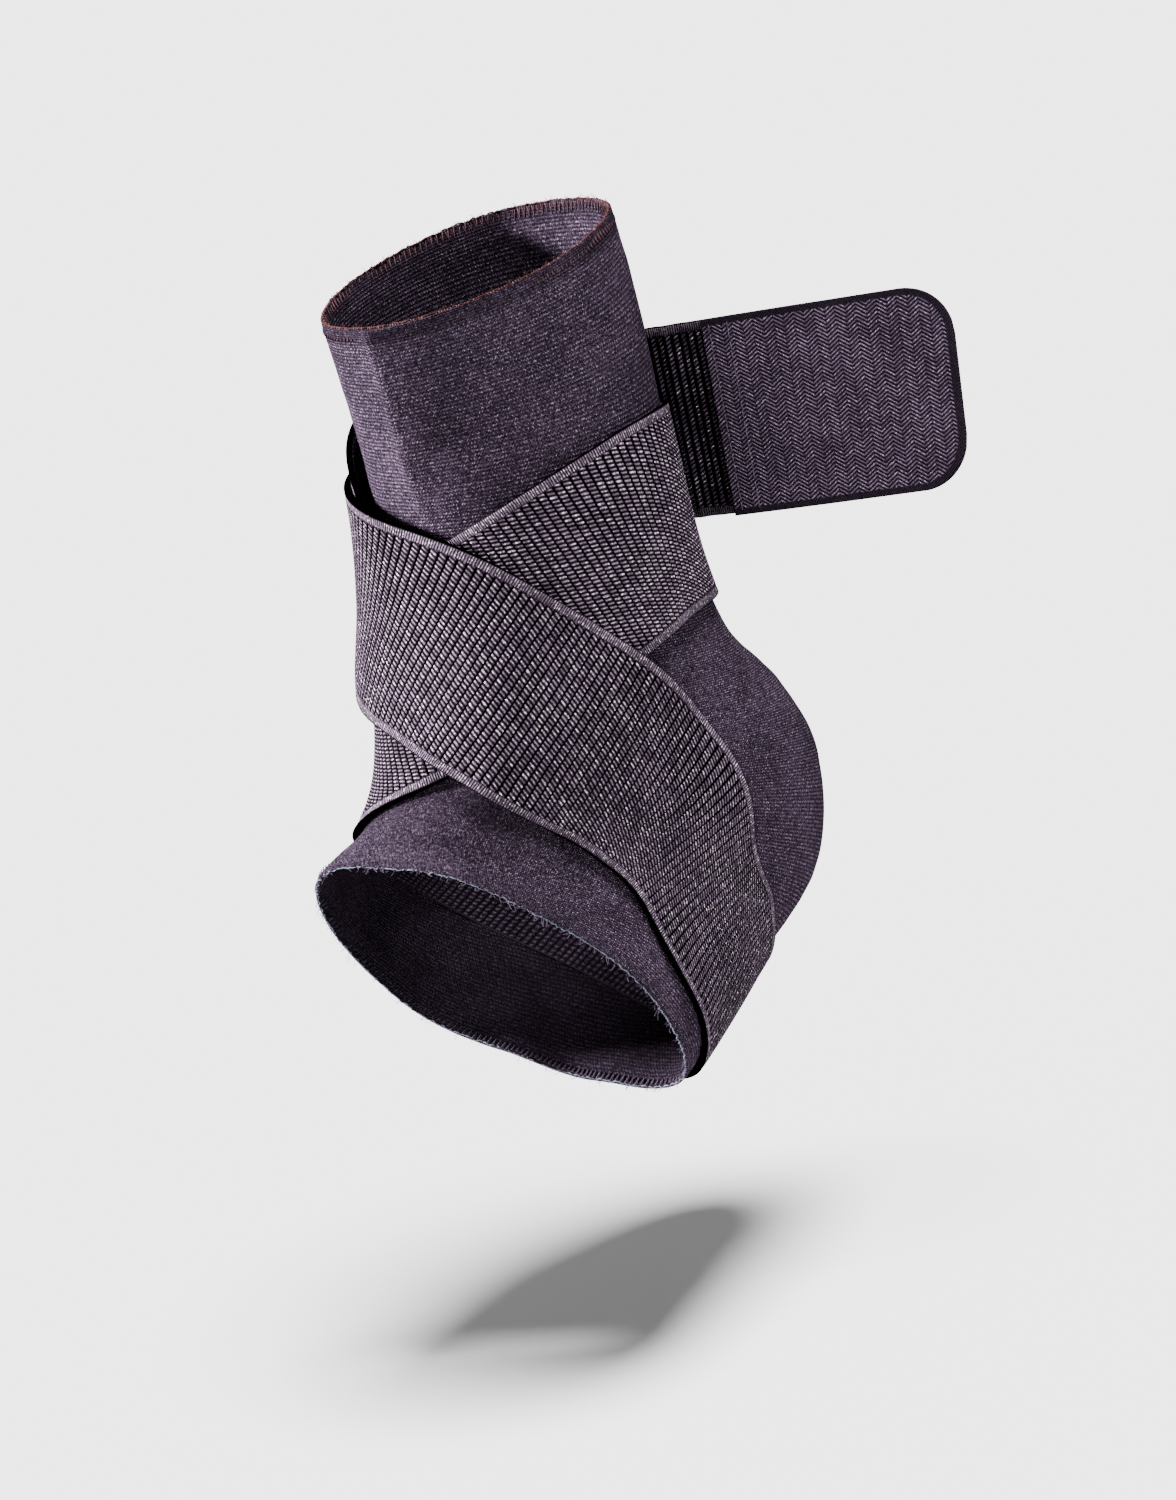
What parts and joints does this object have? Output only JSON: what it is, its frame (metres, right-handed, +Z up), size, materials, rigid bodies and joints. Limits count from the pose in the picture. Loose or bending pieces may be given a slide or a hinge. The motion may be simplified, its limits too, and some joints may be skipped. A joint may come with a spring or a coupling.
{
  "type": "ankle brace",
  "caption": "Elastic knit ankle sleeve, closed at the heel, with a figure-eight of wide elastic straps and a free closure tab.",
  "frame": {"origin": "middle of the ankle inside the sleeve, where the wearer's ankle holds the brace up", "axes": "+Z up the leg through the cuff, toes towards -Y, heel towards +Y, free closure tab towards +X"},
  "size_m": [0.1431, 0.1458, 0.221],
  "materials": {
    "knit": "near-black elastic knit with a fine sparkle",
    "webbing": "ribbed woven elastic, dull",
    "tab": "woven hook-and-loop tab with zigzag ribs"
  },
  "bodies": {
    "root": {"sleeve": "knit", "over_strap": "webbing", "under_strap": "webbing", "closure_tab": "tab"}
  },
  "joints": []
}
